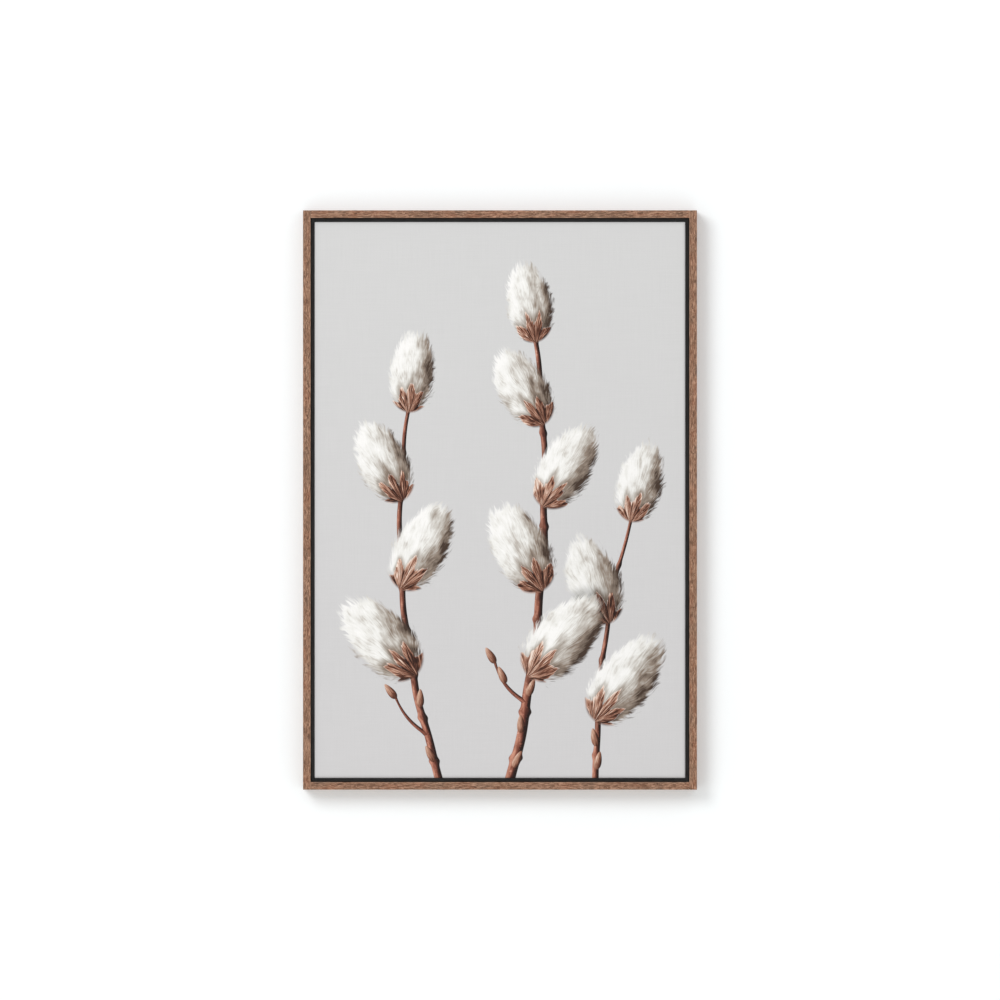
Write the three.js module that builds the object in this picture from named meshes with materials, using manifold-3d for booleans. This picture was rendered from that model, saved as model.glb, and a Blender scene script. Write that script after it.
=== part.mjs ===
// A canvas picture in a shadow-gap frame. The cloth is wrapped over a keyed wooden stretcher, which is screwed
// from behind to black battens inside a frame of four butt-jointed walnut slats.
// Millimetres. +X is right, +Z is up and the picture faces -Y. The origin is the hanging point: the top of the
// sawtooth hanger's middle notch, in the plane of the wall.
import * as THREE from 'three';
import { mergeVertices } from 'three/addons/utils/BufferGeometryUtils.js';
import Module from 'manifold-3d';

const wasm = await Module();
wasm.setup();

// Driving dimensions
const pictureWidth = 609.6;
const pictureHeight = 914.4;
const shadowGap = 6.5;
const jointGap = 0.1; // glue lines, and the cloth's looseness on its bars
const cutOver = 1; // how far a cutting tool runs past what it cuts
const curveSteps = 3; // straight pieces in a small rounded corner
const roundSides = 16; // sides of a turned piece

const slatThickness = 12.5;
const slatDepth = 36;
const slatEdgeRadius = 0.7;
const slatEndBevel = 0.4;

const ledgeWidth = 22;
const ledgeThickness = 10;
const ledgeEdgeRadius = 0.6;

const clothThickness = 0.6;
const clothFlap = 26; // how far the cloth is folded over the stretcher's back
const clothCornerRadius = 1;
const clothFrontRadius = 2;
const clothEdgePull = 0.6; // share of the corner's radius that the rounded front edge draws in

const barWidth = 38;
const barDepth = 20;
const barBead = 4; // the flat rim that carries the cloth
const barFall = 3; // how far the bar's front falls away from the cloth
const barEdgeRadius = 1.5;

const braceWidth = 38;
const braceDepth = 12;
const tenonLength = 10;
const tenonWidth = 30;
const tenonThickness = 5;
const mortiseSlack = 0.3;

const keyInside = 23; // from the stretcher's inner corner to the key's point, along the mitre
const keyOutside = 13; // from the inner corner to the key's broad end
const keyBreadth = 11;
const keyThickness = 2.2;
const slotSlack = 0.3;

const screwHeadRadius = 3.7;
const screwHeadHeight = 2.6;
const screwShankRadius = 1.8;
const screwLength = 25;
const screwSunk = 0.3;
const screwSlack = 0.25;
const screwInset = 9; // from the canvas's edge
const screwsOnRails = [-190, 190];
const screwsOnStiles = [-310, 0, 310];
const crossLength = 4.4;
const crossWidth = 0.9;
const crossDepth = 1.3;

const hangerDrop = 22; // from the frame's top edge to the hanging point
const hangerLength = 45;
const hangerTop = 8;
const hangerToothHeight = 3;
const hangerToothPitch = 4;
const hangerNotches = 5;
const hangerSheet = 0.8;
const hangerFlatEnd = 7;
const hangerStep = 2;
const hangerCornerCut = 1;
const standOff = 2.5; // from the wall to the frame's back
const nailHeadRadius = 2.4;
const nailHeadHeight = 0.9;
const nailCrownRadius = 1.7; // the flat on top of its domed head
const nailRimHeight = 0.35;
const nailShankRadius = 0.9;
const nailLength = 10;
const nailInset = 3.6;
const nailSlack = 0.2;
const nailHoleDepth = 11.5;

const bumperRadius = 6;
const bumperEdgeRadius = 0.8;
const bumperInset = 24; // from the frame's outer edges to a bumper's middle

// Worked out from them
const openingWidth = pictureWidth + 2 * shadowGap;
const openingHeight = pictureHeight + 2 * shadowGap;
const outerWidth = openingWidth + 2 * slatThickness;
const outerHeight = openingHeight + 2 * slatThickness;
const middleZ = hangerDrop - outerHeight / 2;
const canvasInset = slatThickness + shadowGap;
const barInset = canvasInset + clothThickness + jointGap;
const barOuterWidth = outerWidth - 2 * barInset;
const barOuterHeight = outerHeight - 2 * barInset;
// Depths, from the frame's back towards its front
const clothBack = ledgeThickness + jointGap;
const barBack = clothBack + clothThickness + jointGap;
const clothFront = barBack + barDepth + jointGap + clothThickness;
const barMiddle = barBack + barDepth / 2;

const finishes = {
  walnut: { color: '#926f5b', roughness: 0.55, metalness: 0 },
  blackLacquer: { color: '#2c2a29', roughness: 0.5, metalness: 0 },
  pine: { color: '#d9bd92', roughness: 0.7, metalness: 0 },
  cloth: { color: '#d6d6d5', roughness: 0.9, metalness: 0 },
  birch: { color: '#e2cda6', roughness: 0.65, metalness: 0 },
  zinc: { color: '#b9bcc0', roughness: 0.35, metalness: 1 },
  brass: { color: '#b8944f', roughness: 0.4, metalness: 1 },
  rubber: { color: '#1f1f1f', roughness: 0.85, metalness: 0 },
};
const materials = Object.fromEntries(
  Object.entries(finishes).map(([name, finish]) => [name, new THREE.MeshStandardMaterial(finish)]),
);

const frame = new THREE.Group();
frame.position.set(0, -standOff, middleZ);

// Cutting and joining
function solidOf(geometry) {
  const bare = geometry.index ? geometry.toNonIndexed() : geometry.clone();
  for (const name of Object.keys(bare.attributes)) {
    if (name !== 'position') bare.deleteAttribute(name);
  }
  const merged = mergeVertices(bare, 1e-5);
  return new wasm.Manifold(
    new wasm.Mesh({
      numProp: 3,
      vertProperties: new Float32Array(merged.attributes.position.array),
      triVerts: new Uint32Array(merged.index.array),
    }),
  );
}

function geometryOf(solid) {
  const mesh = solid.getMesh();
  const geometry = new THREE.BufferGeometry();
  geometry.setAttribute('position', new THREE.BufferAttribute(mesh.vertProperties, 3));
  geometry.setIndex(new THREE.BufferAttribute(mesh.triVerts, 1));
  geometry.computeVertexNormals();
  return geometry;
}

function without(geometry, tools) {
  return geometryOf(tools.reduce((solid, tool) => solid.subtract(solidOf(tool)), solidOf(geometry)));
}

function moved(geometry, matrix) {
  return geometry.clone().applyMatrix4(matrix);
}

// Basic shapes
function roundedRectangle(x0, y0, x1, y1, radius) {
  const shape = new THREE.Shape();
  shape.moveTo(x0 + radius, y0);
  shape.lineTo(x1 - radius, y0);
  shape.absarc(x1 - radius, y0 + radius, radius, -Math.PI / 2, 0, false);
  shape.lineTo(x1, y1 - radius);
  shape.absarc(x1 - radius, y1 - radius, radius, 0, Math.PI / 2, false);
  shape.lineTo(x0 + radius, y1);
  shape.absarc(x0 + radius, y1 - radius, radius, Math.PI / 2, Math.PI, false);
  shape.lineTo(x0, y0 + radius);
  shape.absarc(x0 + radius, y0 + radius, radius, Math.PI, 1.5 * Math.PI, false);
  return shape;
}

// A box from its lowest to its highest corner
function boxBetween(low, high) {
  const size = high.map((value, axis) => value - low[axis]);
  const middle = high.map((value, axis) => (value + low[axis]) / 2);
  return new THREE.BoxGeometry(...size).translate(...middle);
}

// A section drawn as (inwards, forwards) is carried along the side of the frame that it belongs to. The result
// lies along X, with inwards as +Z and forwards as -Y. A mitred bar gets shorter as it goes inwards.
function barAlong(section, length, { mitred = false, endBevel = 0 } = {}) {
  const geometry = new THREE.ExtrudeGeometry(section, {
    depth: length - 2 * endBevel,
    curveSegments: curveSteps,
    bevelEnabled: endBevel > 0,
    bevelThickness: endBevel,
    bevelSize: endBevel,
    bevelOffset: -endBevel,
    bevelSegments: 1,
  });
  geometry.translate(0, 0, endBevel - length / 2);
  if (mitred) {
    const places = geometry.attributes.position;
    for (let i = 0; i < places.count; i += 1) {
      const shortened = length / 2 - places.getX(i) - jointGap;
      places.setZ(i, Math.sign(places.getZ(i)) * shortened);
    }
  }
  const turn = new THREE.Matrix4().makeBasis(
    new THREE.Vector3(0, 0, 1),
    new THREE.Vector3(0, -1, 0),
    new THREE.Vector3(1, 0, 0),
  );
  return geometry.applyMatrix4(turn);
}

// A profile of (radius, forwards) turned about the axis that runs from back to front
function turned(profile) {
  const points = profile.map(([radius, forwards]) => new THREE.Vector2(radius, forwards));
  return new THREE.LatheGeometry(points, roundSides).rotateX(Math.PI);
}

function addMesh(parent, name, geometry, material) {
  const mesh = new THREE.Mesh(geometry, material);
  mesh.name = name;
  parent.add(mesh);
  return mesh;
}

// The four sides. Each has its own frame: its origin is the middle of the outer edge at the frame's back, +X
// runs along the side, +Z points inwards and -Y to the front.
const sides = [
  { name: 'bottom', turn: 0, x: 0, z: -outerHeight / 2, upright: false },
  { name: 'top', turn: Math.PI, x: 0, z: outerHeight / 2, upright: false },
  { name: 'left', turn: Math.PI / 2, x: -outerWidth / 2, z: 0, upright: true },
  { name: 'right', turn: -Math.PI / 2, x: outerWidth / 2, z: 0, upright: true },
];
for (const side of sides) {
  side.group = new THREE.Group();
  side.group.position.set(side.x, 0, side.z);
  side.group.rotation.y = side.turn;
  side.group.updateMatrix();
  side.matrix = side.group.matrix.clone();
  side.screws = side.upright ? screwsOnStiles : screwsOnRails;
  frame.add(side.group);
}

// The four inner corners of the stretcher. In a corner's frame +Z points along the mitre into the opening.
const innerX = barOuterWidth / 2 - barWidth;
const innerZ = barOuterHeight / 2 - barWidth;
const corners = [
  { name: 'bottom_left', x: -innerX, z: -innerZ, turn: Math.PI / 4 },
  { name: 'top_left', x: -innerX, z: innerZ, turn: (3 * Math.PI) / 4 },
  { name: 'top_right', x: innerX, z: innerZ, turn: (-3 * Math.PI) / 4 },
  { name: 'bottom_right', x: innerX, z: -innerZ, turn: -Math.PI / 4 },
];
for (const corner of corners) {
  corner.group = new THREE.Group();
  corner.group.position.set(corner.x, 0, corner.z);
  corner.group.rotation.y = corner.turn;
  corner.group.updateMatrix();
  corner.matrix = corner.group.matrix.clone();
  frame.add(corner.group);
}

// Screws
function screwGeometry() {
  const screw = turned([
    [0, 0],
    [screwHeadRadius, 0],
    [screwShankRadius, screwHeadHeight],
    [screwShankRadius, screwLength - 2 * screwShankRadius],
    [0, screwLength],
  ]);
  const arm = crossWidth / 2;
  const reach = crossLength / 2;
  return without(screw, [
    boxBetween([-reach, -crossDepth, -arm], [reach, cutOver, arm]),
    boxBetween([-arm, -crossDepth, -reach], [arm, cutOver, reach]),
  ]);
}

// The countersunk hole that the screw goes in, through battens, cloth and bar
function screwHole() {
  const throat = screwHeadRadius + screwSlack;
  const bore = screwShankRadius + screwSlack;
  const rise = screwHeadHeight + screwSlack;
  return turned([
    [0, -screwSunk - cutOver],
    [throat, -screwSunk - cutOver],
    [throat, 0],
    [bore, rise],
    [bore, screwLength + cutOver],
    [0, screwLength + cutOver],
  ]);
}

const screwZ = canvasInset + screwInset;
function holesIn(side) {
  return side.screws.map((x) => screwHole().translate(x, -screwSunk, screwZ));
}

// Slats and battens
const slatSection = roundedRectangle(0, 0, slatThickness, slatDepth, slatEdgeRadius);
const ledgeStart = slatThickness + jointGap;
const ledgeSection = roundedRectangle(ledgeStart, 0, slatThickness + ledgeWidth, ledgeThickness, ledgeEdgeRadius);

for (const side of sides) {
  const slatName = `${side.upright ? 'stile' : 'rail'}_${side.name}`;
  const slatLength = side.upright ? outerHeight : openingWidth - 2 * jointGap;
  const endBevel = side.upright ? slatEndBevel : 0;
  addMesh(side.group, slatName, barAlong(slatSection, slatLength, { endBevel }), materials.walnut);

  const ledgeLength = (side.upright ? openingHeight : openingWidth - 2 * ledgeWidth) - 2 * jointGap;
  const ledge = without(barAlong(ledgeSection, ledgeLength), holesIn(side));
  addMesh(side.group, `ledge_${side.name}`, ledge, materials.blackLacquer);

  side.screws.forEach((x, i) => {
    const screw = addMesh(side.group, `ledge_screw_${side.name}_${i + 1}`, screwGeometry(), materials.zinc);
    screw.position.set(x, -screwSunk, screwZ);
  });
}

// Stretcher
function barSection() {
  const shape = new THREE.Shape();
  const back = barBack;
  const front = barBack + barDepth;
  const inner = barInset + barWidth;
  const round = barEdgeRadius;
  shape.moveTo(barInset + round, back);
  shape.lineTo(inner - round, back);
  shape.absarc(inner - round, back + round, round, -Math.PI / 2, 0, false);
  shape.lineTo(inner, front - barFall - round);
  shape.lineTo(inner - round, front - barFall);
  shape.lineTo(barInset + barBead, front);
  shape.lineTo(barInset + round, front);
  shape.absarc(barInset + round, front - round, round, Math.PI / 2, Math.PI, false);
  shape.lineTo(barInset, back + round);
  shape.absarc(barInset + round, back + round, round, Math.PI, 1.5 * Math.PI, false);
  return shape;
}

function prismAcross(outline, middle, thickness) {
  const shape = new THREE.Shape(outline.map(([x, z]) => new THREE.Vector2(x, z)));
  const geometry = new THREE.ExtrudeGeometry(shape, { depth: thickness, bevelEnabled: false });
  return geometry.rotateX(Math.PI / 2).translate(0, thickness / 2 - middle, 0);
}

const braceReach = innerX - jointGap;
const tenonReach = innerX + tenonLength;
function tenonBox(slack) {
  return boxBetween(
    [-tenonReach - slack, -barMiddle - tenonThickness / 2 - slack, -tenonWidth / 2 - slack],
    [tenonReach + slack, -barMiddle + tenonThickness / 2 + slack, tenonWidth / 2 + slack],
  );
}

const slotHalf = keyBreadth + slotSlack + jointGap;
const slotOutline = [
  [0, -keyInside - cutOver],
  [slotHalf, keyOutside + cutOver],
  [-slotHalf, keyOutside + cutOver],
];
const slots = corners.map((corner) =>
  moved(prismAcross(slotOutline, barMiddle, keyThickness + 2 * slotSlack), corner.matrix),
);

for (const side of sides) {
  const outside = side.upright ? outerHeight : outerWidth;
  const toSide = side.matrix.clone().invert();
  const bar = barAlong(barSection(), outside, { mitred: true });
  const tools = [...slots, ...(side.upright ? [tenonBox(mortiseSlack)] : [])].map((tool) => moved(tool, toSide));
  addMesh(side.group, `stretcher_${side.name}`, without(bar, [...holesIn(side), ...tools]), materials.pine);
}

const braceBody = boxBetween(
  [-braceReach, -barMiddle - braceDepth / 2, -braceWidth / 2],
  [braceReach, -barMiddle + braceDepth / 2, braceWidth / 2],
);
const brace = solidOf(braceBody).add(solidOf(tenonBox(0)));
addMesh(frame, 'stretcher_brace', geometryOf(brace), materials.pine);

// Keys: two thin right-angled wedges side by side in each corner's slot
const keyOutline = [
  [jointGap, -keyInside],
  [keyBreadth, keyOutside],
  [jointGap, keyOutside],
];
const mirroredKeyOutline = keyOutline.map(([x, z]) => [-x, z]).reverse();
for (const corner of corners) {
  addMesh(corner.group, `key_${corner.name}_1`, prismAcross(keyOutline, barMiddle, keyThickness), materials.birch);
  const second = prismAcross(mirroredKeyOutline, barMiddle, keyThickness);
  addMesh(corner.group, `key_${corner.name}_2`, second, materials.birch);
}

// Cloth: front, four sides and the flaps folded on to the back, as one shell that is open behind
function clothBlock(inset) {
  const round = clothFrontRadius - inset;
  const halfWidth = pictureWidth / 2 - inset;
  const halfHeight = pictureHeight / 2 - inset;
  const corner = clothCornerRadius - inset;
  const outline = roundedRectangle(-halfWidth, -halfHeight, halfWidth, halfHeight, corner);
  const depth = clothFront - clothBack - 2 * inset;
  const geometry = new THREE.ExtrudeGeometry(outline, {
    depth: depth - 2 * round,
    curveSegments: curveSteps,
    bevelEnabled: true,
    bevelThickness: round,
    bevelSize: corner * clothEdgePull,
    bevelOffset: -corner * clothEdgePull,
    bevelSegments: curveSteps,
  });
  return geometry.rotateX(Math.PI / 2).translate(0, -clothBack - inset - round, 0);
}

const clothWindow = boxBetween(
  [clothFlap - pictureWidth / 2, -clothBack - clothThickness * 2, clothFlap - pictureHeight / 2],
  [pictureWidth / 2 - clothFlap, cutOver, pictureHeight / 2 - clothFlap],
);
const clothHoles = sides.flatMap((side) => holesIn(side).map((hole) => moved(hole, side.matrix)));
const cloth = without(clothBlock(0), [clothBlock(clothThickness), clothWindow, ...clothHoles]);
addMesh(frame, 'canvas', cloth, materials.cloth);

// Hanger
// The plate is the overlap of its bent side view and its toothed front view.
const plateEnd = hangerLength / 2;
const plateStep = plateEnd - hangerFlatEnd;
const plateLow = standOff - jointGap; // its flat ends lie on the batten, and its middle touches the wall's plane

function plateSideView() {
  const outer = [
    [-plateEnd, plateLow - hangerSheet],
    [-plateStep, plateLow - hangerSheet],
    [-plateStep + hangerStep, 0],
    [plateStep - hangerStep, 0],
    [plateStep, plateLow - hangerSheet],
    [plateEnd, plateLow - hangerSheet],
  ];
  const inner = outer.map(([x, depth]) => [x, depth + hangerSheet]).reverse();
  const shape = new THREE.Shape([...outer, ...inner].map(([x, depth]) => new THREE.Vector2(x, -depth)));
  const height = hangerTop + hangerToothHeight + 2 * cutOver;
  const side = new THREE.ExtrudeGeometry(shape, { depth: height, bevelEnabled: false });
  return side.translate(0, 0, -hangerToothHeight - cutOver);
}

function plateFrontView() {
  const teeth = [];
  for (let i = 0; i < hangerNotches; i += 1) {
    const x = (i - (hangerNotches - 1) / 2) * hangerToothPitch;
    teeth.push([x - hangerToothPitch / 2, -hangerToothHeight], [x, 0]);
  }
  teeth.push([(hangerNotches * hangerToothPitch) / 2, -hangerToothHeight]);
  const outline = [
    [-plateEnd, 0],
    [-plateStep, -hangerToothHeight],
    ...teeth,
    [plateStep, -hangerToothHeight],
    [plateEnd, 0],
    [plateEnd, hangerTop - hangerCornerCut],
    [plateEnd - hangerCornerCut, hangerTop],
    [hangerCornerCut - plateEnd, hangerTop],
    [-plateEnd, hangerTop - hangerCornerCut],
  ];
  return prismAcross(outline, 0, 2 * (standOff + cutOver));
}

const nailX = plateEnd - nailInset;
const nailZ = hangerTop / 2;
const plateHoles = [-nailX, nailX].map((x) =>
  turned([
    [0, -cutOver],
    [nailShankRadius + nailSlack, -cutOver],
    [nailShankRadius + nailSlack, nailHoleDepth],
    [0, nailHoleDepth],
  ]).translate(x, 0, nailZ),
);
const plate = plateHoles.reduce(
  (solid, hole) => solid.subtract(solidOf(hole)),
  solidOf(plateSideView()).intersect(solidOf(plateFrontView())),
);
const hanger = new THREE.Group(); // its origin is the hanging point
addMesh(hanger, 'hanger_plate', geometryOf(plate), materials.brass);

for (const [name, x] of [
  ['left', -nailX],
  ['right', nailX],
]) {
  const nail = turned([
    [0, 0],
    [nailCrownRadius, 0],
    [nailHeadRadius, nailRimHeight],
    [nailHeadRadius, nailHeadHeight],
    [nailShankRadius, nailHeadHeight],
    [nailShankRadius, nailLength - 2 * nailShankRadius],
    [0, nailLength],
  ]);
  const mesh = addMesh(hanger, `hanger_nail_${name}`, nail, materials.brass);
  mesh.position.set(x, -(plateLow - hangerSheet - nailHeadHeight - jointGap), nailZ);
}

// The nails' pilot holes in the top batten
const topLedge = frame.getObjectByName('ledge_top');
const topSide = sides.find((side) => side.name === 'top');
const hangerToSide = new THREE.Matrix4()
  .makeTranslation(0, -standOff, middleZ)
  .multiply(topSide.matrix)
  .invert();
topLedge.geometry = without(
  topLedge.geometry,
  plateHoles.map((hole) => moved(hole, hangerToSide)),
);

// Bumpers
for (const [name, sign] of [
  ['left', -1],
  ['right', 1],
]) {
  const bumper = turned([
    [0, 0],
    [bumperRadius - bumperEdgeRadius, 0],
    [bumperRadius, bumperEdgeRadius],
    [bumperRadius, standOff - jointGap],
    [0, standOff - jointGap],
  ]);
  const mesh = addMesh(hanger, `bumper_${name}`, bumper, materials.rubber);
  mesh.position.set(sign * (outerWidth / 2 - bumperInset), 0, hangerDrop - outerHeight + bumperInset);
}

const picture = new THREE.Group();
picture.add(frame, hanger);
export default picture;
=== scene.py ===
import math
import bmesh
import bpy
import numpy as np
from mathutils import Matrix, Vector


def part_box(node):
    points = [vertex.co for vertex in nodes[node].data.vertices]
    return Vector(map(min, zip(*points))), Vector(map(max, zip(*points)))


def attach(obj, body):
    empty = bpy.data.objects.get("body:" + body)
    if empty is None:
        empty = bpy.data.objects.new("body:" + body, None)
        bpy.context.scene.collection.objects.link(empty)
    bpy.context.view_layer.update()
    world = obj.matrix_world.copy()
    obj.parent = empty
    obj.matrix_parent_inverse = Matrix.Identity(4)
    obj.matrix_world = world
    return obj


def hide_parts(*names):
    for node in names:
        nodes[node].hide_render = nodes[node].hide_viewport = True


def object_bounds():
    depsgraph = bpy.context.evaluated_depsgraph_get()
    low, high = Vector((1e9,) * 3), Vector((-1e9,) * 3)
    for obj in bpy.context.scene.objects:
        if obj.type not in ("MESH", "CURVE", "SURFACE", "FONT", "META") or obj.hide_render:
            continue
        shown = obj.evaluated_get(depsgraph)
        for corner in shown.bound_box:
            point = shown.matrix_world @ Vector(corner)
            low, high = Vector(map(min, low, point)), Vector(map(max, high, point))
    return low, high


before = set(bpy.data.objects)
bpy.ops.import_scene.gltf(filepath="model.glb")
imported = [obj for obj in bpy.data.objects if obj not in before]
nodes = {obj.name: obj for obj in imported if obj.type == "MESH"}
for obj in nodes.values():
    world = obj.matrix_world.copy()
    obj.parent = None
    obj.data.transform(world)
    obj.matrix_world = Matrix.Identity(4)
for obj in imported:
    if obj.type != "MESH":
        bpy.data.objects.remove(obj)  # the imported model, in metres: the picture faces -Y and the wall is at y = 0
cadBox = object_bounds()

frontPlane = cadBox[0].y
middleZ = (cadBox[0].z + cadBox[1].z) / 2
fullTurn = 2 * math.pi
mm = 0.001


view = {
    "lens": 250.0,
    "sensor": 36.0,
    "span": 1.6437,  # metres that the square picture shows at the frame's front plane
    "reach": 100.0,
}
light = {  # places are from the middle of the picture
    "world": 0.74,
    "key": {"place": (-4.9, -7.6, 4.4), "size": 5.0, "power": 363.0},
    "back": {"place": (1.6, 3.2, 2.0), "size": 2.0, "power": 50.0},
}
stage = {
    "size": 9.0,
    "wallGap": 0.0006,  # behind the bumpers and the hanger
    "wallWhite": (0.953, 0.985, 1.0, 1.0),
    "wallGlow": 0.07,
    "floorDrop": 1.25,  # below the middle of the picture
    "floorTones": ((236, 235, 232), (226, 225, 222)),
}


def linked(name, data):
    # a new object of the scene
    thing = bpy.data.objects.new(name, data)
    bpy.context.scene.collection.objects.link(thing)
    return thing


def makeCamera():
    data = bpy.data.cameras.new("camera")
    data.lens = view["lens"]
    data.sensor_width = view["sensor"]
    data.clip_end = view["reach"]
    camera = linked("camera", data)
    distance = view["span"] * view["lens"] / view["sensor"]
    camera.location = (0, frontPlane - distance, middleZ)
    camera.rotation_euler = (math.radians(90), 0, 0)
    bpy.context.scene.camera = camera


def makeAreaLight(name, place, size, power):
    data = bpy.data.lights.new(name, "AREA")
    data.shape = "DISK"
    data.size = size
    data.energy = power
    lamp = linked(name, data)
    lamp.location = (place[0], place[1], middleZ + place[2])
    towards = bpy.data.objects["camera"].location.copy()
    towards.y = 0
    lamp.rotation_mode = "QUATERNION"
    lamp.rotation_quaternion = (towards - lamp.location).to_track_quat("-Z", "Y")


def makeWorld():
    world = bpy.data.worlds.new("studio")
    world.use_nodes = True
    background = world.node_tree.nodes["Background"]
    background.inputs["Color"].default_value = (1, 1, 1, 1)
    background.inputs["Strength"].default_value = light["world"]
    bpy.context.scene.world = world
    bpy.context.scene.view_settings.view_transform = "Standard"


def linear(screen):
    # a screen colour of three values from 0 to 255 as the linear colour that a socket holds
    values = np.array(screen) / 255
    curved = np.where(values > 0.04045, ((values + 0.055) / 1.055) ** 2.4, values / 12.92)
    return (*curved.tolist(), 1.0)


def isSocket(value):
    return isinstance(value, bpy.types.NodeSocket)


def treeOf(*values):
    # the node tree of the first socket among the values
    return next(value.id_data for value in values if isSocket(value))


def plug(socket, value):
    if isSocket(value):
        socket.id_data.links.new(value, socket)
    else:
        socket.default_value = value


def add(tree, kind, sockets=None, **settings):
    # one node: settings are its properties, sockets gives each input a value or another output
    node = tree.nodes.new("ShaderNode" + kind)
    for name, value in settings.items():
        setattr(node, name, value)
    for name, value in (sockets or {}).items():
        plug(node.inputs[name], value)
    return node


def calc(operation, *values, clamp=False):
    sockets = dict(enumerate(values))
    return add(treeOf(*values), "Math", sockets, operation=operation, use_clamp=clamp).outputs[0]


def plus(first, second):
    return calc("ADD", first, second)


def minus(first, second):
    return calc("SUBTRACT", first, second)


def times(first, second):
    return calc("MULTIPLY", first, second)


def timesPlus(first, second, third):
    return calc("MULTIPLY_ADD", first, second, third)


def over(first, second):
    return calc("DIVIDE", first, second)


def summed(total, *parts):
    # each part is a value and how many times it is added
    for value, amount in parts:
        total = timesPlus(value, amount, total)
    return total


def lengthOf(first, second):
    return calc("SQRT", timesPlus(first, first, times(second, second)))


def vectorCalc(operation, *values, output="Vector"):
    return add(treeOf(*values), "VectorMath", dict(enumerate(values)), operation=operation).outputs[output]


def step(value, start, end, low=0.0, high=1.0):
    # low before start, high after end and a smooth S between them
    sockets = {"Value": value, "From Min": start, "From Max": end, "To Min": low, "To Max": high}
    return add(treeOf(value), "MapRange", sockets, interpolation_type="SMOOTHSTEP").outputs[0]


def blend(factor, first, second, mode="MIX"):
    # a colour that isn't a socket is a screen colour
    node = add(treeOf(factor, first, second), "Mix", {0: factor}, data_type="RGBA", blend_type=mode)
    for index, color in ((6, first), (7, second)):
        plug(node.inputs[index], color if isSocket(color) else linear(color))
    return node.outputs[2]


def layered(color, tones, *layers):
    # each layer is a mask and the name of the tone that it lays over what is below it
    for mask, name in layers:
        color = blend(mask, color, tones[name])
    return color


def darkened(color, amount):
    return blend(1.0, color, join(amount, amount, amount), "MULTIPLY")


def choose(factor, first, second):
    # one vector or the other
    return add(treeOf(factor), "Mix", {0: factor, 4: first, 5: second}, data_type="VECTOR").outputs[1]


def noise(vector, scale=1.0, detail=2.0, output="Fac"):
    sockets = {"Vector": vector, "Scale": scale, "Detail": detail}
    return add(treeOf(vector), "TexNoise", sockets).outputs[output]


def split(vector):
    return add(treeOf(vector), "SeparateXYZ", {0: vector}).outputs


def join(x=0.0, y=0.0, z=0.0):
    return add(treeOf(x, y, z), "CombineXYZ", {0: x, 1: y, 2: z}).outputs[0]


def stretched(vector, across, along):
    # a pattern's coordinates, drawn out along Z
    return vectorCalc("MULTIPLY", vector, (across, across, along))


def mapped(vector, shift=(0, 0, 0), turn=(0, 0, 0), size=(1, 1, 1), kind="POINT"):
    sockets = {"Vector": vector, "Location": shift, "Rotation": turn, "Scale": size}
    return add(treeOf(vector), "Mapping", sockets, vector_type=kind).outputs[0]


def shades(factor, stops):
    # a colour ramp of (place, screen colour) stops
    node = add(treeOf(factor), "ValToRGB", {"Fac": factor})
    ramp = node.color_ramp
    while len(ramp.elements) < len(stops):
        ramp.elements.new(1.0)
    for element, (place, color) in zip(ramp.elements, stops):
        element.position = place
        element.color = linear(color)
    return node.outputs["Color"]


def startGroup(name, **starts):
    # a node group with an input for each starting value
    tree = bpy.data.node_groups.new(name, "ShaderNodeTree")
    for label, value in starts.items():
        kind = "NodeSocketFloat" if isinstance(value, float) else "NodeSocketVector"
        tree.interface.new_socket(label, in_out="INPUT", socket_type=kind).default_value = value
    return tree.nodes.new("NodeGroupInput").outputs


def finishGroup(**results):
    # and with an output for each result
    tree = treeOf(*results.values())
    for label, value in results.items():
        kind = "NodeSocketVector" if value.type == "VECTOR" else "NodeSocketFloat"
        tree.interface.new_socket(label, in_out="OUTPUT", socket_type=kind)
    output = tree.nodes.new("NodeGroupOutput")
    for label, value in results.items():
        plug(output.inputs[label], value)
    return tree


def useGroup(group, **values):
    node = add(treeOf(*values.values()), "Group", node_tree=group)
    for label, value in values.items():
        plug(node.inputs[label], value)
    return node.outputs


def startMaterial(name, constants):
    # a Principled material, with the values that are the same all over set on its own sockets
    material = bpy.data.materials.new(name)
    material.use_nodes = True
    tree = material.node_tree
    for label, value in constants.items():
        tree.nodes["Principled BSDF"].inputs[label].default_value = value
    return material, tree


def finishMaterial(material, color, roughness, height, bumpDepth, strength=1.0):
    tree = material.node_tree
    bump = add(tree, "Bump", {"Strength": strength, "Distance": bumpDepth, "Height": height})
    for label, value in (("Base Color", color), ("Roughness", roughness), ("Normal", bump.outputs[0])):
        plug(tree.nodes["Principled BSDF"].inputs[label], value)
    return material


def objectPlace(tree):
    return add(tree, "TexCoord").outputs["Object"]


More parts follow.
